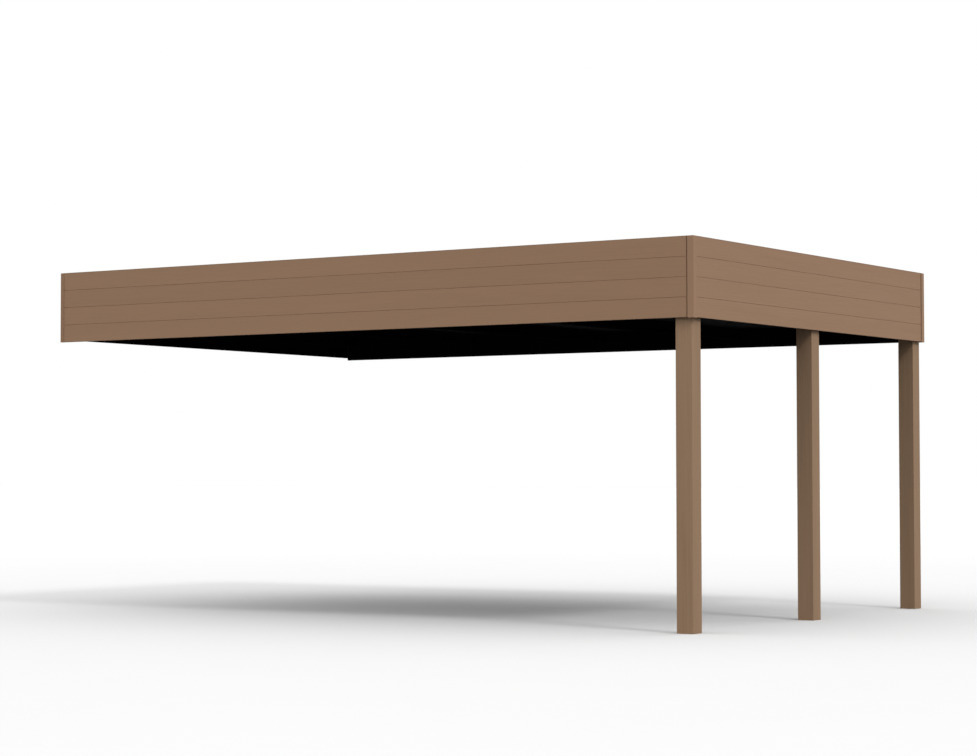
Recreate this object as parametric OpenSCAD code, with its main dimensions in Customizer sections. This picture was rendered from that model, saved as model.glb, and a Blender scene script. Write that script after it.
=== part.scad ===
// Lean-to carport: a flat roof behind a boarded fascia, held by a ledger and three posts.
// Millimetres. +X points out from the ledger, +Y to the rear, +Z up.
// The origin is the centre of the ledger's back face. Ground level lies datum_z below it.

/* [Overall] */
// Projection from the ledger's back face to the face of the outer fascia boards
roof_depth = 5900; // [4800:50:7200]
// Length between the faces of the front and the rear fascia boards
roof_length = 4000; // [3200:50:5200]
// Height from the ground to the lower edge of the fascia
clear_height = 2200; // [2000:10:2600]
// Fall of the roof sheets away from the ledger, in percent
roof_fall = 1.5; // [1:0.1:1.8]

/* [Fascia boards] */
// Face height of one board
board_cover = 142; // [135:1:165]
// Thickness of a board
board_t = 20; // [16:0.5:28]
// Bevel along both edges of a board's face
board_bevel = 2; // [1:0.5:4]
// Height of the tongue on a board's upper edge
tongue_h = 8; // [5:0.5:12]
// Thickness of the tongue
tongue_t = 6; // [4:0.5:8]
// Clearance round the tongue in its groove
tongue_play = 0.4; // [0.2:0.1:0.8]

/* [Trims and caps] */
// Width of the folded trims on the two outer corners
corner_leg = 50; // [35:1:80]
// Wall of the folded corner trims
trim_wall = 2; // [1.5:0.5:3]
// Reach of the corner trims below the boards
trim_drop = 3; // [1:0.5:8]
// Open joint between the corner trims and the ends of the boards
reveal = 8; // [4:0.5:12]
// Leg of the angles at the ledger end of the fascia
end_leg = 32; // [20:1:45]
// Thickness of those angles, and how far all the trims stand proud of the boards
trim_t = 5; // [3:0.5:8]
// Thickness of the folded caps
cap_t = 2; // [1.5:0.5:3]
// Depth of the lip folded down behind the fascia
cap_lip = 25; // [15:1:40]
// Width of the cap behind the uprights
cap_back = 12; // [8:1:20]
// Clearance at the mitres of the caps and at the ledger end of the boards
joint_gap = 0.5; // [0.2:0.1:0.8]

/* [Posts] */
// Width of a post on both sides
post_w = 130; // [110:1:160]
// Wall of a post
post_wall = 5; // [4:0.5:8]
// Rounding of a post's long edges
post_edge_r = 3; // [1:0.5:4]
// Thickness of a post's head plate
head_t = 8; // [6:1:12]
// Height of the sleeve of the shoe inside a post's foot
shoe_h = 150; // [100:5:250]
// Thickness of a shoe's base plate
shoe_plate_t = 8; // [6:1:12]
// Wall of a shoe's sleeve
shoe_wall = 5; // [4:0.5:8]
// Clearance between a shoe and its post
shoe_play = 0.3; // [0.2:0.1:0.5]
// Distance between the anchor holes in a shoe
shoe_pitch = 76; // [60:1:80]
// Diameter of the anchor holes in a shoe
shoe_hole_d = 12; // [10:0.5:14]

/* [Frame] */
// Height of the ledger and of the three ring beams
beam_h = 280; // [270:5:320]
// Height of the frame's underside above the lower edge of the fascia
frame_lift = 20; // [10:1:40]
// Width of the beam on the posts
outer_beam_w = 100; // [90:5:130]
// Width of the front and rear beams
side_beam_w = 80; // [75:5:120]
// Wall of the ring beams
beam_wall = 4; // [3:0.5:8]
// Width of the ledger's flanges
ledger_w = 75; // [60:1:100]
// Thickness of the ledger
ledger_t = 7; // [5:0.5:10]
// Diameter of the anchor holes in the ledger
anchor_d = 14; // [11:0.5:18]
// Distance between neighbouring anchor holes along the ledger
anchor_pitch = 1000; // [700:10:1000]
// Distance between the two rows of anchor holes
anchor_rows = 160; // [120:5:200]

/* [Fascia uprights] */
// Width of an upright behind the boards
upright_w = 60; // [40:1:80]
// Thickness of an upright, which sets the boards off from the beams
upright_t = 8; // [6:0.5:12]
// Depth of an upright's gusset at its foot on the beam
gusset_foot = 68; // [50:1:72]
// Depth of the gusset at its head
gusset_head = 24; // [15:1:40]
// Thickness of the gusset
gusset_t = 6; // [4:0.5:10]
// Leg of the angles behind the corner trims
corner_back = 90; // [80:1:120]
// Height of the rails that close the cavity behind the boards at its foot
rail_h = 25; // [15:1:40]

/* [Purlins] */
// Height of a purlin
purlin_h = 100; // [80:1:110]
// Width of a purlin's flanges
purlin_w = 50; // [40:1:60]
// Depth of the lips that stiffen the flanges
purlin_lip = 15; // [10:1:20]
// Thickness of a purlin
purlin_t = 2.5; // [2:0.5:4]
// Leg of the cleats that carry the purlins
cleat_leg = 60; // [45:1:70]
// Thickness of a cleat
cleat_t = 5; // [4:0.5:8]
// Clearance at the ends of the purlins
purlin_gap = 2; // [1:0.5:5]

/* [Roof sheets] */
// Height of a rib
rib_h = 35; // [25:1:40]
// Width of a rib's crown
crown_w = 40; // [30:1:50]
// Run of a rib's sloping flank
flank_w = 18; // [12:1:24]
// Thickness of a sheet
sheet_t = 1; // [0.7:0.1:1.5]
// Clearance between lapped sheets
lap_play = 0.3; // [0.2:0.1:0.5]
// Clearance between the outermost ribs and the beams
sheet_gap = 10; // [5:1:20]
// Reach of the sheets into the gutter
sheet_reach = 50; // [30:1:70]

/* [Gutter and flashings] */
// Width of the gutter
gutter_w = 120; // [100:1:150]
// Depth of the gutter
gutter_d = 75; // [60:1:80]
// Thickness of the gutter
gutter_t = 1.5; // [1:0.5:2]
// Clearance between the gutter's rim and the sheets
gutter_gap = 6; // [4:1:10]
// Height of the gutter's back above its rim
gutter_back = 90; // [60:1:100]
// Outer radius of the outlet
outlet_r = 38; // [30:1:45]
// Length of the outlet below the gutter
outlet_len = 40; // [20:1:42]
// Thickness of the flashings
flash_t = 1; // [0.7:0.1:1.5]
// Width of the flashings on the ribs
flash_leg = 90; // [60:1:120]
// Height of the flashings above the ribs
upstand = 40; // [30:1:45]
// Height of the flashing above the ledger
apron_h = 100; // [75:1:150]
// Run of that flashing's slope from the ledger to the ribs
apron_run = 70; // [50:1:100]

/* [Hidden] */
$fn = 48;
// How far a cutting form reaches past what it cuts
cut = 1;
wood_brown = [0.52, 0.41, 0.33];
trim_brown = [0.50, 0.39, 0.31];
frame_black = [0.07, 0.07, 0.075];
sheet_black = [0.10, 0.10, 0.11];
boards = 4;
sheets = 4;
ribs = 5;
purlins = 5;
side_uprights = 7;
outer_uprights = 5;
fall_a = atan(roof_fall / 100);
half_l = roof_length / 2;
fascia_top = clear_height + boards * board_cover;
frame_z = clear_height + frame_lift;
beam_top = frame_z + beam_h;
datum_z = frame_z + beam_h / 2;
skin = board_t + upright_t;
beam_x = roof_depth - skin;
beam_y = half_l - skin;
outer_in = beam_x - outer_beam_w;
side_in = beam_y - side_beam_w;
post_in = post_w - 2 * post_wall;
shoe_w = post_in - 2 * shoe_play;
// The roof's own frame starts at the ledger's back face, at the underside of the sheets
lap_rise = sheet_t + lap_play;
crown_top = rib_h + lap_rise + sheet_t;
flash_w = crown_top + lap_play;
roof_z = beam_top - upstand - flash_w;
gutter_x = outer_in - gutter_w;
rim_z = roof_z - gutter_x * tan(fall_a) - gutter_gap;
gutter_z = rim_z - gutter_d;
sheet_u0 = ledger_w + sheet_gap;
sheet_u1 = (gutter_x + sheet_reach) / cos(fall_a);
sheet_v0 = -side_in + sheet_gap + crown_w / 2;
sheet_cover = (2 * (side_in - sheet_gap) - crown_w) / sheets;
rib_pitch = sheet_cover / ribs;
purlin_u0 = ledger_w + cleat_leg + sheet_gap;
purlin_u1 = gutter_x - purlin_w - 4 * sheet_gap;
apron_x0 = ledger_w + apron_run;
apron_x1 = apron_x0 + flash_leg;
cap_w = skin + cap_back;
trim_x = roof_depth + trim_t;
trim_y = half_l + trim_t;

// Places a piece that is drawn with ground level at zero
module on_site() {
    translate([0, 0, -datum_z]) children();
}

// Places a piece that is drawn in the roof's own sloping frame
module in_roof() {
    on_site() translate([0, 0, roof_z]) rotate([0, fall_a, 0]) children();
}

// Extrudes an outline drawn in Y and Z along +X
module along_x(x0, x1) {
    translate([x0, 0, 0]) rotate([90, 0, 90]) linear_extrude(height = x1 - x0) children();
}

// Extrudes an outline drawn in X and Z along +Y
module along_y(y0, y1) {
    translate([0, y1, 0]) rotate([90, 0, 0]) linear_extrude(height = y1 - y0) children();
}

// The rear is the mirror image of the front
module to_rear() {
    mirror([0, 1, 0]) children();
}

// Outline of a folded sheet: the given line, thickened to its left with mitred bends
function heading(a, b) = (b - a) / norm(b - a);
function left_of(d) = [-d[1], d[0]];
function bend(p, d0, d1, t) = let(m = left_of(d0) + left_of(d1)) p + m * t / (m * left_of(d0));
function folded(pts, t) = let(n = len(pts) - 1) concat(pts, [
    for (i = [n:-1:0])
        i == 0 ? pts[0] + t * left_of(heading(pts[0], pts[1])) :
        i == n ? pts[n] + t * left_of(heading(pts[n - 1], pts[n])) :
        bend(pts[i], heading(pts[i - 1], pts[i]), heading(pts[i], pts[i + 1]), t)
]);

// Square bar outline with rounded corners
module rounded_square(w, r) {
    union() {
        translate([r, 0]) square([w - 2 * r, w]);
        translate([0, r]) square([w, w - 2 * r]);
        for (x = [r, w - r], y = [r, w - r]) translate([x, y]) circle(r = r);
    }
}

// A post stands from the ground to the beam, hollow and closed by its head plate
module post_at(y) {
    color(wood_brown) on_site() translate([beam_x - post_w, y, 0]) difference() {
        linear_extrude(height = frame_z) rounded_square(post_w, post_edge_r);
        translate([post_wall, post_wall, -cut]) cube([post_in, post_in, frame_z - head_t + cut]);
    }
}

module front_post() {
    post_at(-beam_y);
}

module middle_post() {
    post_at(-post_w / 2);
}

module rear_post() {
    post_at(beam_y - post_w);
}

// A shoe is bolted down first, and its post then slides over it
module shoe() {
    difference() {
        translate([-shoe_w / 2, -shoe_w / 2, 0]) cube([shoe_w, shoe_w, shoe_h]);
        translate([-shoe_w / 2 + shoe_wall, -shoe_w / 2 + shoe_wall, shoe_plate_t])
            cube([shoe_w - 2 * shoe_wall, shoe_w - 2 * shoe_wall, shoe_h]);
        for (x = [-1, 1], y = [-1, 1])
            translate([x * shoe_pitch / 2, y * shoe_pitch / 2, -cut])
                cylinder(d = shoe_hole_d, h = shoe_plate_t + 2 * cut);
    }
}

module post_shoes() {
    color(frame_black) on_site()
        for (y = [-beam_y + post_w / 2, 0, beam_y - post_w / 2])
            translate([beam_x - post_w / 2, y, 0]) shoe();
}

// Channel with its back outward and two rows of anchor holes
module wall_ledger() {
    color(frame_black) on_site() difference() {
        along_y(-beam_y, beam_y) polygon(folded([
            [ledger_w, beam_top], [0, beam_top], [0, frame_z], [ledger_w, frame_z]
        ], ledger_t));
        for (i = [-1.5:1:1.5], j = [-0.5, 0.5])
            translate([-cut, i * anchor_pitch, datum_z + j * anchor_rows])
                rotate([0, 90, 0]) cylinder(d = anchor_d, h = ledger_t + 2 * cut);
    }
}

// Box section outline from its lower left corner
module box_section(w) {
    difference() {
        square([w, beam_h]);
        translate([beam_wall, beam_wall]) square([w - 2 * beam_wall, beam_h - 2 * beam_wall]);
    }
}

module outer_beam() {
    color(frame_black) on_site() along_y(-beam_y, beam_y)
        translate([outer_in, frame_z]) box_section(outer_beam_w);
}

module front_beam() {
    color(frame_black) on_site() along_x(ledger_w, outer_in)
        translate([-beam_y, frame_z]) box_section(side_beam_w);
}

module rear_beam() {
    to_rear() front_beam();
}

// Lipped channel across the roof, with its web on the side of the ledger
function purlin_u(i) = purlin_u0 + (i - 1) * (purlin_u1 - purlin_u0) / (purlins - 1);

module purlin(i) {
    color(frame_black) in_roof() translate([purlin_u(i), 0, 0])
        along_y(-side_in + purlin_gap, side_in - purlin_gap) polygon(folded([
            [purlin_w, -purlin_lip], [purlin_w, 0], [0, 0],
            [0, -purlin_h], [purlin_w, -purlin_h], [purlin_w, purlin_lip - purlin_h]
        ], purlin_t));
}

module purlin_1() {
    purlin(1);
}

module purlin_2() {
    purlin(2);
}

module purlin_3() {
    purlin(3);
}

module purlin_4() {
    purlin(4);
}

module purlin_5() {
    purlin(5);
}

// Angle between a front or rear beam and a purlin's web
module front_cleat(i) {
    in_roof() translate([purlin_u(i), -side_in, cleat_t - purlin_h])
        linear_extrude(height = purlin_h - 2 * cleat_t)
            polygon(folded([[-cleat_leg, 0], [0, 0], [0, cleat_leg]], cleat_t));
}

module purlin_cleats() {
    color(frame_black) for (i = [1:purlins]) {
        front_cleat(i);
        to_rear() front_cleat(i);
    }
}

// Flat rails between the boards and the frame, at the foot of the cavity
module front_rail() {
    translate([trim_t + joint_gap, board_t - half_l, frame_z])
        cube([roof_depth - board_t - trim_t - joint_gap, upright_t, rail_h]);
}

module starter_rails() {
    color(frame_black) on_site() {
        front_rail();
        to_rear() front_rail();
        translate([beam_x, joint_gap - beam_y, frame_z])
            cube([upright_t, 2 * (beam_y - joint_gap), rail_h]);
    }
}

// Flat upright on the rail behind the boards, stiffened above the beam by a tapered gusset
module upright() {
    foot = frame_z + rail_h;
    union() {
        translate([-upright_w / 2, 0, foot])
            cube([upright_w, upright_t, fascia_top - foot]);
        translate([-gusset_t / 2, 0, 0]) rotate([90, 0, 90]) linear_extrude(height = gusset_t)
            polygon([
                [upright_t / 2, beam_top], [upright_t + gusset_foot, beam_top],
                [upright_t + gusset_foot, beam_top + gusset_head],
                [upright_t + gusset_head, fascia_top - 2 * cap_lip],
                [upright_t / 2, fascia_top - 2 * cap_lip]
            ]);
    }
}

module front_uprights() {
    x0 = ledger_w + upright_w;
    x1 = outer_in - upright_w;
    color(frame_black) on_site() for (i = [0:side_uprights - 1])
        translate([x0 + i * (x1 - x0) / (side_uprights - 1), board_t - half_l, 0]) upright();
}

module rear_uprights() {
    to_rear() front_uprights();
}

// Angle on the rails at a corner, which carries the corner trim and backs its joints
module corner_angle() {
    x = roof_depth - board_t;
    y = board_t - half_l;
    foot = frame_z + rail_h;
    translate([0, 0, foot]) linear_extrude(height = fascia_top - foot)
        polygon(folded([[x - corner_back, y], [x, y], [x, y + corner_back]], upright_t));
}

module outer_uprights() {
    y0 = side_in - upright_w;
    color(frame_black) on_site() {
        for (i = [0:outer_uprights - 1])
            translate([roof_depth - board_t, y0 * (2 * i / (outer_uprights - 1) - 1), 0])
                rotate([0, 0, 90]) upright();
        corner_angle();
        to_rear() corner_angle();
    }
}

// Board outline: depth in from the face, and height. The lowest board has no groove
// and the highest no tongue.
module board_outline(i) {
    mid = board_t / 2;
    groove_t = tongue_t + 2 * tongue_play;
    translate([0, clear_height + (i - 1) * board_cover]) difference() {
        union() {
            polygon([
                [board_bevel, 0], [board_t, 0], [board_t, board_cover], [board_bevel, board_cover],
                [0, board_cover - board_bevel], [0, board_bevel]
            ]);
            if (i < boards) translate([mid - tongue_t / 2, board_cover - cut])
                square([tongue_t, tongue_h + cut]);
        }
        if (i > 1) translate([mid - groove_t / 2, -cut])
            square([groove_t, tongue_h + tongue_play + cut]);
    }
}

module front_board(i) {
    color(wood_brown) on_site()
        along_x(trim_t + joint_gap, trim_x - corner_leg - reveal)
            translate([-half_l, 0]) board_outline(i);
}

module outer_board(i) {
    y_end = trim_y - corner_leg - reveal;
    color(wood_brown) on_site() along_y(-y_end, y_end)
        translate([roof_depth, 0]) mirror([1, 0]) board_outline(i);
}

module front_fascia_board_1() {
    front_board(1);
}

module front_fascia_board_2() {
    front_board(2);
}

module front_fascia_board_3() {
    front_board(3);
}

module front_fascia_board_4() {
    front_board(4);
}

module outer_fascia_board_1() {
    outer_board(1);
}

module outer_fascia_board_2() {
    outer_board(2);
}

module outer_fascia_board_3() {
    outer_board(3);
}

module outer_fascia_board_4() {
    outer_board(4);
}

module rear_fascia_board_1() {
    to_rear() front_board(1);
}

module rear_fascia_board_2() {
    to_rear() front_board(2);
}

module rear_fascia_board_3() {
    to_rear() front_board(3);
}

module rear_fascia_board_4() {
    to_rear() front_board(4);
}

// Folded trim on an outer corner: both edges return to the angle behind it, and a plate closes its top
module front_corner_trim() {
    x = trim_x - corner_leg;
    y = corner_leg - trim_y;
    tall = boards * board_cover + trim_drop;
    color(trim_brown) on_site() translate([0, 0, clear_height - trim_drop]) union() {
        linear_extrude(height = tall) polygon(folded([
            [x, board_t - half_l], [x, -trim_y], [trim_x, -trim_y], [trim_x, y], [roof_depth - board_t, y]
        ], trim_wall));
        translate([0, 0, tall - trim_wall]) linear_extrude(height = trim_wall)
            polygon(folded([[x, -trim_y], [trim_x, -trim_y], [trim_x, y]], trim_t + board_t));
    }
}

module rear_corner_trim() {
    to_rear() front_corner_trim();
}

// Angle that closes the board ends in the plane of the ledger's back
module front_end_trim() {
    color(trim_brown) on_site() translate([0, 0, clear_height])
        linear_extrude(height = boards * board_cover) polygon(folded([
            [0, board_t - half_l], [0, -trim_y], [end_leg, -trim_y]
        ], trim_t));
}

module rear_end_trim() {
    to_rear() front_end_trim();
}

// Folded cap on the boards, with a lip behind the uprights. Its plan cuts the mitres.
module mitred(plan) {
    intersection() {
        children();
        translate([0, 0, fascia_top - cap_lip - cut])
            linear_extrude(height = cap_lip + cap_t + 2 * cut) polygon(plan);
    }
}

module front_cap() {
    x_out = roof_depth - joint_gap;
    y_in = cap_w - half_l;
    color(trim_brown) on_site() mitred([
        [0, -half_l], [x_out, -half_l],
        [x_out - 2 * cap_w, 2 * cap_w - half_l], [0, 2 * cap_w - half_l]
    ]) along_x(0, roof_depth) polygon(folded([
        [-half_l, fascia_top], [y_in, fascia_top], [y_in, fascia_top - cap_lip]
    ], cap_t));
}

module rear_cap() {
    to_rear() front_cap();
}

module outer_cap() {
    x_in = roof_depth - cap_w;
    y_out = half_l - joint_gap;
    color(trim_brown) on_site() mitred([
        [roof_depth, -y_out], [roof_depth, y_out],
        [roof_depth - 2 * cap_w, y_out - 2 * cap_w], [roof_depth - 2 * cap_w, 2 * cap_w - y_out]
    ]) along_y(-half_l, half_l) polygon(folded([
        [x_in, fascia_top - cap_lip], [x_in, fascia_top], [roof_depth, fascia_top]
    ], cap_t));
}

// Trapezoidal sheet. Its first crown is raised to lap over the last crown of the sheet before it.
function rib_line(y) = [
    [y - crown_w / 2 - flank_w, 0], [y - crown_w / 2, rib_h],
    [y + crown_w / 2, rib_h], [y + crown_w / 2 + flank_w, 0]
];
function sheet_line() = concat(
    [
        [-crown_w / 2, rib_h + lap_rise], [crown_w / 2, rib_h + lap_rise],
        [crown_w / 2 + flank_w, 0]
    ],
    [for (i = [1:ribs - 1]) for (p = rib_line(i * rib_pitch)) p],
    [
        [sheet_cover - crown_w / 2 - flank_w, 0], [sheet_cover - crown_w / 2, rib_h],
        [sheet_cover + crown_w / 2 - 2 * sheet_t, rib_h]
    ]
);

module roof_sheet(k) {
    color(sheet_black) in_roof() along_x(sheet_u0, sheet_u1)
        translate([sheet_v0 + (k - 1) * sheet_cover, 0]) polygon(folded(sheet_line(), sheet_t));
}

module roof_sheet_1() {
    roof_sheet(1);
}

module roof_sheet_2() {
    roof_sheet(2);
}

module roof_sheet_3() {
    roof_sheet(3);
}

module roof_sheet_4() {
    roof_sheet(4);
}

// Gutter on the beam over the posts, with closed ends and an outlet near the rear post
module gutter() {
    y_end = side_in - purlin_gap;
    x_mid = gutter_x + gutter_w / 2;
    y_out = beam_y - 2 * post_w;
    color(sheet_black) on_site() difference() {
        union() {
            along_y(-y_end, y_end) polygon(folded([
                [gutter_x + 5 * gutter_t, rim_z], [gutter_x, rim_z], [gutter_x, gutter_z],
                [outer_in, gutter_z], [outer_in, rim_z + gutter_back]
            ], gutter_t));
            for (y = [-y_end, y_end - gutter_t]) along_y(y, y + gutter_t)
                translate([gutter_x, gutter_z]) square([gutter_w, gutter_d]);
            translate([x_mid, y_out, gutter_z - outlet_len])
                cylinder(r = outlet_r, h = outlet_len + gutter_t / 2);
        }
        translate([x_mid, y_out, gutter_z - outlet_len - cut])
            cylinder(r = outlet_r - gutter_t, h = outlet_len + gutter_t + 2 * cut);
    }
}

// Height of the seat of the flashings on the ribs
function seat_z(x) = roof_z - x * tan(fall_a) + flash_w / cos(fall_a);

// Flashing from above the ledger down over the upper ends of the sheets
module wall_flashing() {
    color(sheet_black) on_site() along_y(-side_in + purlin_gap, side_in - purlin_gap)
        polygon(folded([
            [0, beam_top + apron_h], [0, beam_top], [ledger_w, beam_top],
            [apron_x0, seat_z(apron_x0)], [apron_x1, seat_z(apron_x1)]
        ], flash_t));
}

// Flashing between the front or rear beam and the outermost rib
module front_flashing() {
    color(sheet_black) in_roof() along_x(apron_x1 + sheet_gap, sheet_u1) polygon(folded([
        [-side_in, flash_w + upstand], [-side_in, flash_w], [flash_leg - side_in, flash_w]
    ], flash_t));
}

module rear_flashing() {
    to_rear() front_flashing();
}

front_post();
middle_post();
rear_post();
post_shoes();
wall_ledger();
outer_beam();
front_beam();
rear_beam();
purlin_1();
purlin_2();
purlin_3();
purlin_4();
purlin_5();
purlin_cleats();
starter_rails();
front_uprights();
outer_uprights();
rear_uprights();
front_fascia_board_1();
front_fascia_board_2();
front_fascia_board_3();
front_fascia_board_4();
outer_fascia_board_1();
outer_fascia_board_2();
outer_fascia_board_3();
outer_fascia_board_4();
rear_fascia_board_1();
rear_fascia_board_2();
rear_fascia_board_3();
rear_fascia_board_4();
front_corner_trim();
rear_corner_trim();
front_end_trim();
rear_end_trim();
front_cap();
outer_cap();
rear_cap();
roof_sheet_1();
roof_sheet_2();
roof_sheet_3();
roof_sheet_4();
gutter();
wall_flashing();
front_flashing();
rear_flashing();
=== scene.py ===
"""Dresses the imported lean-to carport: procedural finishes for every CAD piece, the small
fasteners that the solids leave out, and a plain studio with the photograph's camera."""

import math

import bmesh
import bpy
from mathutils import Matrix, Vector


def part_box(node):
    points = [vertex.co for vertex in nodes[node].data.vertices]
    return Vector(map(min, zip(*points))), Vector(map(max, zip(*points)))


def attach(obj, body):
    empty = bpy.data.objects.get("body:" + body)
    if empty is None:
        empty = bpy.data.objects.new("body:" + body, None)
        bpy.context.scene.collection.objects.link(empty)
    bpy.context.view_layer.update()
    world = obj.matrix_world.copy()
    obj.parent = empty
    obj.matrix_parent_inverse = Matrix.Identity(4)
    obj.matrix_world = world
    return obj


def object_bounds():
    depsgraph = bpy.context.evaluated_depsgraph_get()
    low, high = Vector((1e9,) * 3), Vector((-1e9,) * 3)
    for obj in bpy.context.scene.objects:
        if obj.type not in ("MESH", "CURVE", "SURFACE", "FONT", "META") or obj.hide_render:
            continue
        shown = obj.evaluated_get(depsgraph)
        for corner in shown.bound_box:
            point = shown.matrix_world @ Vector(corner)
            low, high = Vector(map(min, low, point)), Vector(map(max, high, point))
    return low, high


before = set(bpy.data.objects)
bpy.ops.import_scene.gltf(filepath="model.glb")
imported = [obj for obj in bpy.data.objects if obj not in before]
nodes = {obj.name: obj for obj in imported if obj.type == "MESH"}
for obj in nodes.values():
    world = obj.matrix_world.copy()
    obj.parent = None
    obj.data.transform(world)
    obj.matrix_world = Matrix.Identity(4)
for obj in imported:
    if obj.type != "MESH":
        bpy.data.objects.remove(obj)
cad_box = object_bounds()
ground = cad_box[0][2]
collection = bpy.context.scene.collection

# Finishes, as linear colours
FASCIA_BROWN = (0.3242, 0.1989, 0.1243)
POST_BROWN = (0.3093, 0.1997, 0.1238)
TRIM_BROWN = (0.3294, 0.2020, 0.1264)
# Black that stands for painted shade: coats under the roof, backs and undersides
SHADED_BLACK = (0.0044, 0.0044, 0.0047)
OPEN_BLACK = (0.0120, 0.0120, 0.0128)
SEAL_BLACK = (0.010, 0.010, 0.010)
ROOF_DUST = (0.10, 0.095, 0.085)
ZINC_GREY = (0.34, 0.34, 0.35)
WHITE = (1.0, 1.0, 1.0, 1.0)

# Timber grain: noise scales per metre, across and along the fibres, then seeds, shares and gloss
FIBRES = (170.0, 2.2)
CLOUDS = (7.0, 0.45)
PORES = (420.0, 14.0)
SEED_STEP = (3.17, 1.93, 2.41)
POST_SEED = 20.0
FIBRE_SHARE = 0.6
GRAIN_SPREAD = (0.32, 0.68)
BOARD_CONTRAST = 0.05
POST_CONTRAST = 0.11
PIT_SPREAD = (0.30, 0.42)
PIT_COVER = 0.08
PIT_TINT = 0.62
TIMBER_ROUGH = (0.66, 0.52)
TIMBER_SPECULAR = 0.06

# Darker bevelled faces in the joints, and painted shade in black on backs and lower edges, placed by
# parts of the normal
BEVEL_SPREAD = (0.4, 0.6)
BEVEL_DARK_COVER = 0.22
BEVEL_DARK_TINT = 0.30
BACK_SPREAD = (0.45, 0.6)
UNDER_SPREAD = (-0.85, -0.95)

# Zinc: noise scale per metre, and tones of its spots
SPOT_SCALE = 130.0
SPOT_DARK = 0.8
SPOT_PALE = 1.15

# Coats: noise scales per metre, dust, the painted shade of the end trims, and the band of heights over
# which a coat's painted shade under the roof gives way to its own colour
PEEL_SCALE = 260.0
TONE_SCALE = 2.4
DUST_SCALE = (0.7, 18.0, 18.0)
DUST_SPREAD = (0.42, 0.72)
DUST_COVER = 0.09
UPWARD_SPREAD = (0.5, 1.0)
# Darker tone of the end trims: painted shade
END_TRIM_PAINTED_SHADE = 0.88
PAINTED_SHADE_FADE_FROM = 0.0
PAINTED_SHADE_FADE_TO = 0.10

# Range that most values of a noise lie in
NOISE_SPREAD = (0.3, 0.7)

# Fascia sides: axis of the boards, direction of their backs, and tone of each board from below
SIDES = {
    "front": (0, (0.0, 1.0, 0.0), (1.000, 1.012, 0.990, 1.004)),
    "outer": (1, (-1.0, 0.0, 0.0), (0.996, 1.008, 1.000, 0.988)),
    "rear": (0, (0.0, -1.0, 0.0), (1.006, 0.992, 1.010, 0.998)),
}
DOWN = (0.0, 0.0, -1.0)

# Roof sizes in metres and counts, as in the part's source
ROOF_FALL = 0.015
PURLINS = 5
PURLIN_W = 0.050
PURLIN_H = 0.100
CLEAT_T = 0.005
SHEETS = 4
SHEET_RIBS = 5
RIB_H = 0.035
CROWN_W = 0.040
SHEET_T = 0.001
LAP_PLAY = 0.0003
FLASH_T = 0.001
SHEET_GAP = 0.010
UPSTAND = 0.040
LEDGER_T = 0.007
ANCHOR_PITCH = 1.0
ANCHOR_ROWS = 0.160
GUTTER_BACK = 0.090

# Tops of a plain rib, a lapped rib and a rib under a flashing, above the roof plane
CROWN_TOP = RIB_H + SHEET_T
LAP_TOP = CROWN_TOP + SHEET_T + LAP_PLAY
FLASH_TOP = LAP_TOP + LAP_PLAY + FLASH_T

# Places worked out from the frame: the side beams' inner faces, the roof plane, its ribs and purlins
BEAM_LOW, BEAM_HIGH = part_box("rear_beam")
SIDE_IN = BEAM_LOW[1]
FALL = math.atan(ROOF_FALL)
ROOF_Z = BEAM_HIGH[2] - UPSTAND - LAP_TOP - LAP_PLAY
ROOF = Matrix.Translation((0, 0, ROOF_Z)) @ Matrix.Rotation(FALL, 4, "Y")
RIBS = SHEETS * SHEET_RIBS
RIB_V0 = -(SIDE_IN - SHEET_GAP - CROWN_W / 2)
RIB_PITCH = -2 * RIB_V0 / RIBS
PURLIN_U = []
for number in range(1, PURLINS + 1):
    purlin_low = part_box(f"purlin_{number}")[0]
    PURLIN_U.append((purlin_low[0] + PURLIN_H * math.sin(FALL)) / math.cos(FALL))

# Hexagon-headed fasteners: washer radius, head radius and head height
SHEET_SCREW = (0.0095, 0.0052, 0.0052)
CLEAT_BOLT = (0.0105, 0.0088, 0.0068)
ANCHOR_NUT = (0.0160, 0.0108, 0.0100)
WASHER_SIDES = 18
HEAD_SIDES = 6

# Their form: rim, rise and top of the washer as shares of its radius, and the head's chamfer
WASHER_RIM = 0.10
WASHER_RISE = 0.26
WASHER_TOP = 0.72
CHAMFER = 0.86

# Turns of the heads, in radians, which keep them from all standing alike
SCREW_TURN = 0.37
SCREW_STEPS = 3
BOLT_TURN = 0.6
BOLT_ROW_TURN = 1.1
BOLT_REAR_TURN = 0.4
ANCHOR_TURN = 0.5

# Cleat bolts: distances from the purlin's web and from the beam, and depths below the sheets
BOLT_FROM_WEB = 0.035
BOLT_FROM_BEAM = 0.038
BOLT_DEPTHS = (0.030, 0.070)

# Stud ends of the ledger's anchors
STUD_START = 0.0142
STUD_RINGS = [(0.006, 0.0), (0.006, 0.013), (0.0048, 0.0145)]
STUD_SIDES = 16
ANCHOR_COLUMNS = 4

# Bead of sealant: steps, waves as size, rate and start, and its section from the wall and the flashing
BEAD_STEPS = 94
BEAD_WAVES = ((0.0006, 1.7, 0.0), (0.0004, 4.1, 1.0))
BEAD_TOP = 0.005
BEAD_SHOULDER_X = 0.0035
BEAD_SHOULDER_Z = 0.004
BEAD_NOSE_X = 0.0055
BEAD_NOSE_Z = 0.0008
BEAD_FOOT = (0.0040, -0.002)
BEAD_HEEL = (0.0010, -0.002)

# Straps across the gutter: spacing, section, play beside the gutter and heights about its rim
STRAPS = 5
STRAP_PITCH = 0.8
STRAP_W = 0.020
STRAP_T = 0.0020
STRAP_DEEP = 0.0022
STRAP_PLAY = 0.0016
STRAP_HOOK = 0.012
STRAP_LOW = 0.0018
STRAP_HIGH = 0.004
STRAP_TAIL = 0.030

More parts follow.
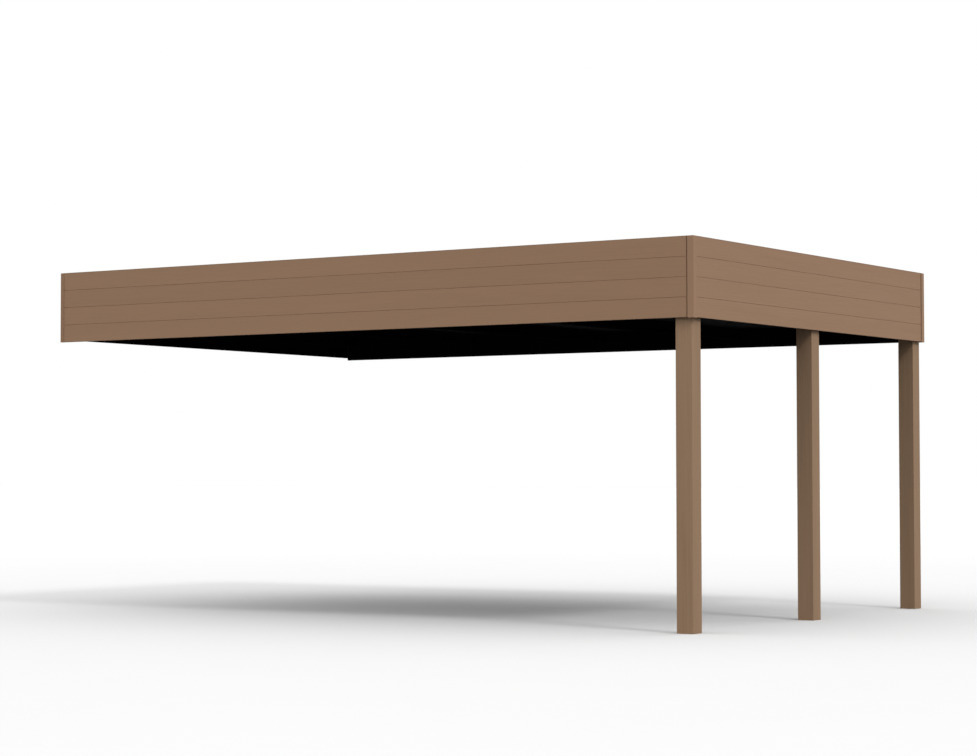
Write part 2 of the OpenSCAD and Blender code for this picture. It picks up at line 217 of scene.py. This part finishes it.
# Studio
SUN_FROM = (0.66, -0.26, 0.70)
SUN_POWER = 1.04
SUN_ANGLE = math.radians(12)
SKY_HORIZON = 0.30
SKY_ZENITH = 2.25
FLOOR_HALF = 150.0
FLOOR_CELLS = 8
FLOOR_CENTRE_X = 3.0
FLOOR_ALBEDO = 0.531
FLOOR_MOTTLE = 0.005
FLOOR_SCALE = 0.8
FLOOR_ROUGH = (0.92, 0.96)
FLOOR_FAR = 0.581
FLOOR_NEAR_R = 9.0
FLOOR_FAR_R = 30.0
FLOOR_BOUNCE = 0.11

# Camera fitted to the photograph: focal length and width in its pixels, place and turns
FOCAL_PX = 2492.0
PHOTO_W_PX = 977.0
SENSOR_W = 36.0
CAMERA_X = 14.1351
CAMERA_Y = -17.2531
CAMERA_HEIGHT = 1.1106
CAMERA_YAW = math.radians(33.0747)
CAMERA_TILT = math.radians(92.2104)
CAMERA_ROLL = math.radians(-0.0811)
CLIP_END = 400.0


# Shader nodes


class Tree:
    """Adds and links the shader nodes of one material round a Principled BSDF."""

    def __init__(self, name):
        self.mat = bpy.data.materials.new(name)
        self.mat.use_nodes = True
        self.nt = self.mat.node_tree
        self.nt.nodes.clear()
        self.out = self.add("ShaderNodeOutputMaterial")
        self.bsdf = self.add("ShaderNodeBsdfPrincipled")
        self.link(self.bsdf.outputs["BSDF"], self.out.inputs["Surface"])
        self.coord = self.add("ShaderNodeTexCoord").outputs["Object"]

    def add(self, kind, **values):
        n = self.nt.nodes.new(kind)
        for k, v in values.items():
            setattr(n, k, v)
        return n

    def link(self, a, b):
        self.nt.links.new(a, b)

    def mapped(self, scale, shift=(0.0, 0.0, 0.0)):
        """Object coordinates, scaled and shifted."""
        m = self.add("ShaderNodeMapping")
        m.inputs["Scale"].default_value = scale
        m.inputs["Location"].default_value = shift
        self.link(self.coord, m.inputs["Vector"])
        return m.outputs["Vector"]

    def noise(self, vector, detail, rough, distortion=0.0):
        n = self.add("ShaderNodeTexNoise")
        n.inputs["Scale"].default_value = 1.0
        n.inputs["Detail"].default_value = detail
        n.inputs["Roughness"].default_value = rough
        n.inputs["Distortion"].default_value = distortion
        self.link(vector, n.inputs["Vector"])
        return n.outputs["Fac"]

    def math(self, op, a, b=None, clamp=False):
        n = self.add("ShaderNodeMath", operation=op, use_clamp=clamp)
        for i, v in enumerate((a, b)):
            if v is None:
                continue
            if isinstance(v, (int, float)):
                n.inputs[i].default_value = v
            else:
                self.link(v, n.inputs[i])
        return n.outputs[0]

    def span(self, value, from_lo, from_hi, to_lo, to_hi):
        """Maps one range of values to another and clamps it."""
        n = self.add("ShaderNodeMapRange")
        self.link(value, n.inputs["Value"])
        n.inputs["From Min"].default_value = from_lo
        n.inputs["From Max"].default_value = from_hi
        n.inputs["To Min"].default_value = to_lo
        n.inputs["To Max"].default_value = to_hi
        return n.outputs["Result"]

    def mix(self, fac, a, b):
        """Mixes two colours, each a tuple or a socket."""
        n = self.add("ShaderNodeMix", data_type="RGBA")
        self.link(fac, n.inputs[0])
        for i, c in ((6, a), (7, b)):
            if isinstance(c, tuple):
                n.inputs[i].default_value = (*c, 1.0)
            else:
                self.link(c, n.inputs[i])
        return n.outputs[2]

    def height(self):
        s = self.add("ShaderNodeSeparateXYZ")
        self.link(self.coord, s.inputs[0])
        return s.outputs["Z"]

    def slant(self):
        """Upward part of the surface's normal."""
        geo = self.add("ShaderNodeNewGeometry")
        s = self.add("ShaderNodeSeparateXYZ")
        self.link(geo.outputs["Normal"], s.inputs[0])
        return s.outputs["Z"]

    def toward(self, direction):
        """Part of the surface's normal along a direction."""
        geo = self.add("ShaderNodeNewGeometry")
        dot = self.add("ShaderNodeVectorMath", operation="DOT_PRODUCT")
        self.link(geo.outputs["Normal"], dot.inputs[0])
        dot.inputs[1].default_value = direction
        return dot.outputs["Value"]

    def bump(self, value, strength, distance, under=None):
        n = self.add("ShaderNodeBump")
        n.inputs["Strength"].default_value = strength
        n.inputs["Distance"].default_value = distance
        self.link(value, n.inputs["Height"])
        if under is not None:
            self.link(under, n.inputs["Normal"])
        return n.outputs["Normal"]

    def finish(self, colour, rough, normal, specular):
        self.link(colour, self.bsdf.inputs["Base Color"])
        self.link(rough, self.bsdf.inputs["Roughness"])
        self.link(normal, self.bsdf.inputs["Normal"])
        self.bsdf.inputs["Specular IOR Level"].default_value = specular
        return self.mat


def tint(colour, k):
    return tuple(c * k for c in colour)


def fibred(axis, scales):
    """Noise scales of a grain that runs along an axis."""
    across, along = scales
    return tuple(along if k == axis else across for k in range(3))


# Materials


def painted_shade_backs_and_undersides(t, base, back):
    """Painted shade in black on faces that look along back and on lower edges: its mask and the colour.
    """
    inner = t.span(t.toward(back), *BACK_SPREAD, 0.0, 1.0)
    under = t.span(t.slant(), *UNDER_SPREAD, 0.0, 1.0)
    mask = t.math("ADD", inner, under, clamp=True)
    return mask, t.mix(mask, base, SHADED_BLACK)


def grain(name, axis, colour, seed, contrast, tone=1.0, back=None):
    """Stained timber: fine fibres along one axis, broad cloudy tone and open pores. Where a back is
    given the bevelled faces of the joints are also darker, and the back and the lower edge get painted
    shade in black."""
    t = Tree(name)
    shift = tuple(seed * k for k in SEED_STEP)
    fibres = t.noise(t.mapped(fibred(axis, FIBRES), shift), detail=5.0, rough=0.62)
    clouds = t.noise(t.mapped(fibred(axis, CLOUDS), shift), detail=3.0, rough=0.5, distortion=0.6)
    pits = t.noise(t.mapped(fibred(axis, PORES), shift), detail=2.0, rough=0.5)
    fine = t.math("MULTIPLY", fibres, FIBRE_SHARE)
    broad = t.math("MULTIPLY", clouds, 1.0 - FIBRE_SHARE)
    pale = t.span(t.math("ADD", fine, broad), *GRAIN_SPREAD, 0.0, 1.0)
    base = t.mix(pale, tint(colour, (1.0 - contrast) * tone), tint(colour, (1.0 + contrast) * tone))
    base = t.mix(t.span(pits, *PIT_SPREAD, PIT_COVER, 0.0), base, tint(colour, PIT_TINT * tone))
    rough = t.span(fibres, *NOISE_SPREAD, *TIMBER_ROUGH)
    if back is not None:
        # Bevelled faces of the joints made darker
        bevel_dark = t.span(t.math("ABSOLUTE", t.slant()), *BEVEL_SPREAD, 0.0, BEVEL_DARK_COVER)
        base = t.mix(bevel_dark, base, tint(colour, BEVEL_DARK_TINT))
        # Back and lower edge: painted shade in black
        mask, base = painted_shade_backs_and_undersides(t, base, back)
        rough = t.math("MAXIMUM", rough, mask)
    relief = t.bump(fibres, strength=0.16, distance=0.0007)
    normal = t.bump(pits, strength=0.10, distance=0.0005, under=relief)
    return t.finish(base, rough, normal, TIMBER_SPECULAR)


def coat(name, colour, rough, specular, spread, dust=0.0, back=None, own_colour_above=None):
    """Powder coat: a fine orange peel, faint cloudy tone and settled dust on upward faces. Where an own
    colour above is given, the colour passed is painted shade below the roof's height and the paler own
    colour shows above the roof; where a back is given, backs and undersides get painted shade in black."""
    t = Tree(name)
    peel = t.noise(t.mapped((PEEL_SCALE,) * 3), detail=3.0, rough=0.5)
    clouds = t.noise(t.mapped((TONE_SCALE,) * 3), detail=5.0, rough=0.6)
    pale = t.span(clouds, *NOISE_SPREAD, 0.0, 1.0)
    base = t.mix(pale, tint(colour, 1.0 - spread), tint(colour, 1.0 + spread))
    if dust > 0.0:
        up = t.span(t.slant(), *UPWARD_SPREAD, 0.0, 1.0)
        streak = t.noise(t.mapped(DUST_SCALE), detail=5.0, rough=0.65, distortion=0.4)
        settled = t.math("MULTIPLY", up, t.span(streak, *DUST_SPREAD, 0.0, dust), clamp=True)
        base = t.mix(settled, base, ROOF_DUST)
    # Below the roof's height the colour passed is painted shade; above it the own colour shows
    if own_colour_above is not None:
        base = t.mix(t.span(t.height(), PAINTED_SHADE_FADE_FROM, PAINTED_SHADE_FADE_TO, 0.0, 1.0), base, own_colour_above)
    gloss = t.span(clouds, *NOISE_SPREAD, *rough)
    # Backs and undersides: painted shade in black
    if back is not None:
        mask, base = painted_shade_backs_and_undersides(t, base, back)
        gloss = t.math("MAXIMUM", gloss, mask)
    return t.finish(base, gloss, t.bump(peel, strength=0.06, distance=0.0003), specular)


def metal(name, colour, rough):
    """Zinc-plated steel with a spotted tone."""
    t = Tree(name)
    spots = t.noise(t.mapped((SPOT_SCALE,) * 3), detail=4.0, rough=0.6)
    pale = t.span(spots, *NOISE_SPREAD, 0.0, 1.0)
    base = t.mix(pale, tint(colour, SPOT_DARK), tint(colour, SPOT_PALE))
    t.bsdf.inputs["Metallic"].default_value = 1.0
    gloss = t.span(spots, *NOISE_SPREAD, *rough)
    return t.finish(base, gloss, t.bump(spots, strength=0.05, distance=0.0002), specular=0.5)


def trim_paint(name, tone=1.0, back=None):
    """Brown coat of the folded trims and caps; a tone below one and a back add painted shade."""
    return coat(name, tint(TRIM_BROWN, tone), rough=(0.52, 0.66), specular=0.07, spread=0.025, back=back)


def dress(node, mat):
    """Puts one material on a CAD node."""
    o = nodes[node]
    if not o.data.materials:
        o.data.materials.append(mat)
    for i in range(len(o.data.materials)):
        o.data.materials[i] = mat


# Finishes of the CAD pieces

seed = 1.0
for side, (axis, back, tones) in SIDES.items():
    for number, tone in enumerate(tones, 1):
        node = f"{side}_fascia_board_{number}"
        dress(node, grain(f"{node}_stain", axis, FASCIA_BROWN, seed, BOARD_CONTRAST, tone, back))
        seed += 1.0
for i, node in enumerate(("front_post", "middle_post", "rear_post")):
    dress(node, grain(f"{node}_stain", 2, POST_BROWN, POST_SEED + i, POST_CONTRAST))

trim_coat = trim_paint("trim_coat")
# Frame coat: painted shade in black below the roof's height, its own black above
frame_coat_and_painted_shade = coat(
    "frame_coat_and_painted_shade", SHADED_BLACK, rough=(0.72, 0.86), specular=0.0, spread=0.25, own_colour_above=OPEN_BLACK,
)
# Sheet coat: its own black with dust on top, painted shade in black on the undersides
sheet_coat_and_painted_shade = coat(
    "sheet_coat_and_painted_shade", OPEN_BLACK, rough=(0.58, 0.74), specular=0.010, spread=0.25, dust=DUST_COVER, back=DOWN,
)
zinc = metal("fastener_zinc", ZINC_GREY, rough=(0.34, 0.52))
rubber = coat("seal_rubber", SEAL_BLACK, rough=(0.70, 0.85), specular=0.20, spread=0.2)
# End trims: a darker tone and black backs, both painted shade
for side in ("front", "rear"):
    dress(f"{side}_end_trim", trim_paint(f"{side}_end_trim_coat_and_shade", END_TRIM_PAINTED_SHADE, SIDES[side][1]))
for node in nodes:
    if "fascia_board" in node or node.endswith(("_post", "_end_trim")):
        continue
    if node.endswith(("_corner_trim", "_cap")):
        dress(node, trim_coat)
    elif node.startswith("roof_sheet") or node == "gutter" or node.endswith("_flashing"):
        dress(node, sheet_coat_and_painted_shade)
    else:
        dress(node, frame_coat_and_painted_shade)


# Small pieces, made as joined meshes


def turned(bm, place, rings, sides, turn=0.0):
    """Adds a closed turned form: rings are (radius, height) pairs from its seat to its top."""
    angles = [2 * math.pi * k / sides + turn for k in range(sides)]
    rows = []
    for r, h in rings:
        rows.append([bm.verts.new(place @ Vector((r * math.cos(a), r * math.sin(a), h))) for a in angles])
    bm.faces.new(rows[0][::-1])
    for low, high in zip(rows, rows[1:]):
        for k in range(sides):
            n = (k + 1) % sides
            bm.faces.new((low[k], low[n], high[n], high[k]))
    bm.faces.new(rows[-1])


def hex_screw(bm, place, sizes, turn=0.0):
    """Adds a dished washer and a hexagon head with a chamfered top."""
    washer, head, tall = sizes
    rise = washer * WASHER_RISE
    dish = [(washer, 0.0), (washer, washer * WASHER_RIM), (washer * WASHER_TOP, rise)]
    turned(bm, place, dish, WASHER_SIDES)
    rings = [(head, 0.0), (head, tall * CHAMFER), (head * CHAMFER, tall)]
    turned(bm, place @ Matrix.Translation((0, 0, rise)), rings, HEAD_SIDES, turn)


def facing(pos, axis, spin=0.0):
    """Matrix that puts +Z along axis at pos."""
    aim = Vector(axis).to_track_quat("Z", "Y").to_matrix().to_4x4()
    return Matrix.Translation(pos) @ aim @ Matrix.Rotation(spin, 4, "Z")


def piece(name, bm, mat):
    """Makes the collected faces one object that rides on the part's body."""
    mesh = bpy.data.meshes.new(name)
    bmesh.ops.recalc_face_normals(bm, faces=bm.faces[:])
    bm.to_mesh(mesh)
    bm.free()
    mesh.materials.append(mat)
    o = bpy.data.objects.new(name, mesh)
    collection.objects.link(o)
    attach(o, "root")


def sheet_screws():
    """Screws on every rib over the first and last purlins, and on every second rib between them."""
    bm = bmesh.new()
    for i, u in enumerate(PURLIN_U):
        for r in range(RIBS + 1):
            if r % 2 and 0 < i < PURLINS - 1:
                continue
            if i == 0 or r in (0, RIBS):
                top = FLASH_TOP
            elif r % SHEET_RIBS == 0:
                top = LAP_TOP
            else:
                top = CROWN_TOP
            place = ROOF @ Matrix.Translation((u + PURLIN_W / 2, RIB_V0 + r * RIB_PITCH, top))
            hex_screw(bm, place, SHEET_SCREW, SCREW_TURN * (r + SCREW_STEPS * i))
    piece("roof_sheet_screws", bm, zinc)


def cleat_bolts():
    """Two bolts in each leg of the cleats at both ends of the purlins."""
    bm = bmesh.new()
    for i, u in enumerate(PURLIN_U):
        for s in (-1, 1):
            for j, depth in enumerate(BOLT_DEPTHS):
                spin = BOLT_TURN * i + BOLT_ROW_TURN * j + (BOLT_REAR_TURN if s > 0 else 0.0)
                beam_leg = facing((u - BOLT_FROM_WEB, s * (SIDE_IN - CLEAT_T), -depth), (0, -s, 0), spin)
                web_leg = facing((u - CLEAT_T, s * (SIDE_IN - BOLT_FROM_BEAM), -depth), (-1, 0, 0), spin)
                hex_screw(bm, ROOF @ beam_leg, CLEAT_BOLT)
                hex_screw(bm, ROOF @ web_leg, CLEAT_BOLT)
    # In the frame coat, which is painted shade in black under the roof
    piece("cleat_bolts", bm, frame_coat_and_painted_shade)


def ledger_anchors():
    """Washer, nut and stud end of each anchor, inside the ledger's channel."""
    bm = bmesh.new()
    for k in range(ANCHOR_COLUMNS):
        y = (k - (ANCHOR_COLUMNS - 1) / 2) * ANCHOR_PITCH
        for j in (-1, 1):
            place = facing((LEDGER_T, y, j * ANCHOR_ROWS / 2), (1, 0, 0), ANCHOR_TURN * k + j)
            hex_screw(bm, place, ANCHOR_NUT)
            turned(bm, place @ Matrix.Translation((0, 0, STUD_START)), STUD_RINGS, STUD_SIDES)
    # In the frame coat, which is painted shade in black under the roof
    piece("ledger_anchors", bm, frame_coat_and_painted_shade)


def flashing_sealant():
    """Bead of sealant on the upper edge of the flashing above the ledger."""
    lo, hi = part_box("wall_flashing")
    bm = bmesh.new()
    rows = []
    for k in range(BEAD_STEPS + 1):
        y = lo[1] + (hi[1] - lo[1]) * k / BEAD_STEPS
        wave = sum(size * math.sin(k * rate + start) for size, rate, start in BEAD_WAVES)
        section = (
            (0.0, BEAD_TOP + wave),
            (BEAD_SHOULDER_X + wave, BEAD_SHOULDER_Z + wave),
            (BEAD_NOSE_X + wave, BEAD_NOSE_Z),
            BEAD_FOOT,
            BEAD_HEEL,
        )
        rows.append([bm.verts.new((x, y, hi[2] + z)) for x, z in section])
    count = len(rows[0])
    for a, b in zip(rows, rows[1:]):
        for k in range(count):
            n = (k + 1) % count
            bm.faces.new((a[k], a[n], b[n], b[k]))
    bm.faces.new(rows[0][::-1])
    bm.faces.new(rows[-1])
    piece("flashing_sealant", bm, rubber)


def gutter_straps():
    """Straps that brace the gutter's rim to its back."""
    lo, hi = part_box("gutter")
    rim = hi[2] - GUTTER_BACK
    near = lo[0] + STRAP_PLAY
    far = hi[0] - STRAP_PLAY
    upper = [
        (near, rim - STRAP_HOOK),
        (near, rim - STRAP_LOW),
        (far, rim + STRAP_HIGH),
        (far, rim + STRAP_TAIL),
    ]
    lower = [
        (near + STRAP_T, rim - STRAP_HOOK),
        (near + STRAP_T, rim - STRAP_LOW - STRAP_DEEP),
        (far - STRAP_T, rim + STRAP_HIGH - STRAP_DEEP),
        (far - STRAP_T, rim + STRAP_TAIL),
    ]
    outline = upper + lower[::-1]
    count = len(outline)
    bm = bmesh.new()
    for k in range(STRAPS):
        y = (k - (STRAPS - 1) / 2) * STRAP_PITCH
        front, rear = [
            [bm.verts.new((x, y + e * STRAP_W / 2, z)) for x, z in outline] for e in (-1, 1)
        ]
        for q in range(count):
            n = (q + 1) % count
            bm.faces.new((front[q], front[n], rear[n], rear[q]))
        for q in range(len(upper) - 1):
            n = count - 1 - q
            bm.faces.new((front[q], front[q + 1], front[n - 1], front[n]))
            bm.faces.new((rear[q], rear[n], rear[n - 1], rear[q + 1]))
    piece("gutter_straps", bm, zinc)


sheet_screws()
cleat_bolts()
ledger_anchors()
flashing_sealant()
gutter_straps()


# Floor, light and camera


def seen_rays(path, join):
    """Camera, glossy and transmission rays, which see the plain pale studio."""
    rays = path.outputs["Is Camera Ray"]
    for kind in ("Is Glossy Ray", "Is Transmission Ray"):
        rays = join(rays, path.outputs[kind])
    return rays


def studio_floor():
    """Pale floor that keeps the shadow, fades to white far off and throws little light back."""
    bm = bmesh.new()
    bmesh.ops.create_grid(bm, x_segments=FLOOR_CELLS, y_segments=FLOOR_CELLS, size=FLOOR_HALF)
    mesh = bpy.data.meshes.new("studio_floor")
    bm.to_mesh(mesh)
    bm.free()
    floor = bpy.data.objects.new("studio_floor", mesh)
    floor.location = (FLOOR_CENTRE_X, 0.0, ground)
    collection.objects.link(floor)
    t = Tree("studio_floor_paint")
    mottle = t.noise(t.mapped((FLOOR_SCALE,) * 3), detail=3.0, rough=0.5)
    shade = t.mix(mottle, (FLOOR_ALBEDO - FLOOR_MOTTLE,) * 3, (FLOOR_ALBEDO + FLOOR_MOTTLE,) * 3)
    away = t.add("ShaderNodeVectorMath", operation="LENGTH")
    t.link(t.coord, away.inputs[0])
    distant = t.span(away.outputs["Value"], FLOOR_NEAR_R, FLOOR_FAR_R, 0.0, 1.0)
    shade = t.mix(distant, shade, (FLOOR_FAR,) * 3)
    path = t.add("ShaderNodeLightPath")
    seen = seen_rays(path, lambda a, b: t.math("ADD", a, b, clamp=True))
    shade = t.mix(seen, (FLOOR_BOUNCE,) * 3, shade)
    rough = t.span(mottle, 0.0, 1.0, *FLOOR_ROUGH)
    t.finish(shade, rough, t.bump(mottle, strength=0.01, distance=0.001), specular=0.0)
    mesh.materials.append(t.mat)


def studio_sky():
    """Overcast sky that grows brighter overhead, seen as plain white."""
    world = bpy.data.worlds.new("studio")
    bpy.context.scene.world = world
    world.use_nodes = True
    nt = world.node_tree
    nt.nodes.clear()
    sky = nt.nodes.new("ShaderNodeBackground")
    sky.inputs["Color"].default_value = WHITE
    look = nt.nodes.new("ShaderNodeTexCoord")
    split = nt.nodes.new("ShaderNodeSeparateXYZ")
    rise = nt.nodes.new("ShaderNodeMapRange")
    rise.inputs["To Min"].default_value = SKY_HORIZON
    rise.inputs["To Max"].default_value = SKY_ZENITH
    nt.links.new(look.outputs["Generated"], split.inputs[0])
    nt.links.new(split.outputs["Z"], rise.inputs["Value"])
    nt.links.new(rise.outputs["Result"], sky.inputs["Strength"])
    backdrop = nt.nodes.new("ShaderNodeBackground")
    backdrop.inputs["Color"].default_value = WHITE
    backdrop.inputs["Strength"].default_value = 1.0

    def larger(a, b):
        n = nt.nodes.new("ShaderNodeMath")
        n.operation = "MAXIMUM"
        nt.links.new(a, n.inputs[0])
        nt.links.new(b, n.inputs[1])
        return n.outputs[0]

    pick = nt.nodes.new("ShaderNodeMixShader")
    nt.links.new(seen_rays(nt.nodes.new("ShaderNodeLightPath"), larger), pick.inputs[0])
    nt.links.new(sky.outputs[0], pick.inputs[1])
    nt.links.new(backdrop.outputs[0], pick.inputs[2])
    end = nt.nodes.new("ShaderNodeOutputWorld")
    nt.links.new(pick.outputs[0], end.inputs["Surface"])


def key_light():
    """Soft sun over the right shoulder of the photograph's camera."""
    sun = bpy.data.lights.new("key", "SUN")
    sun.energy = SUN_POWER
    sun.angle = SUN_ANGLE
    key = bpy.data.objects.new("key", sun)
    key.rotation_euler = Vector(SUN_FROM).to_track_quat("Z", "Y").to_euler()
    collection.objects.link(key)


def photo_camera():
    """Camera that sees the carport as the photograph does."""
    lens = bpy.data.cameras.new("photo_camera")
    lens.sensor_fit = "HORIZONTAL"
    lens.sensor_width = SENSOR_W
    lens.lens = SENSOR_W * FOCAL_PX / PHOTO_W_PX
    lens.clip_end = CLIP_END
    camera = bpy.data.objects.new("photo_camera", lens)
    camera.location = (CAMERA_X, CAMERA_Y, CAMERA_HEIGHT + ground)
    yaw = Matrix.Rotation(CAMERA_YAW, 4, "Z")
    tilt = Matrix.Rotation(CAMERA_TILT, 4, "X")
    roll = Matrix.Rotation(CAMERA_ROLL, 4, "Z")
    camera.rotation_euler = (yaw @ tilt @ roll).to_euler()
    collection.objects.link(camera)
    bpy.context.scene.camera = camera


studio_floor()
studio_sky()
key_light()
photo_camera()
bpy.context.scene.view_settings.view_transform = "Standard"
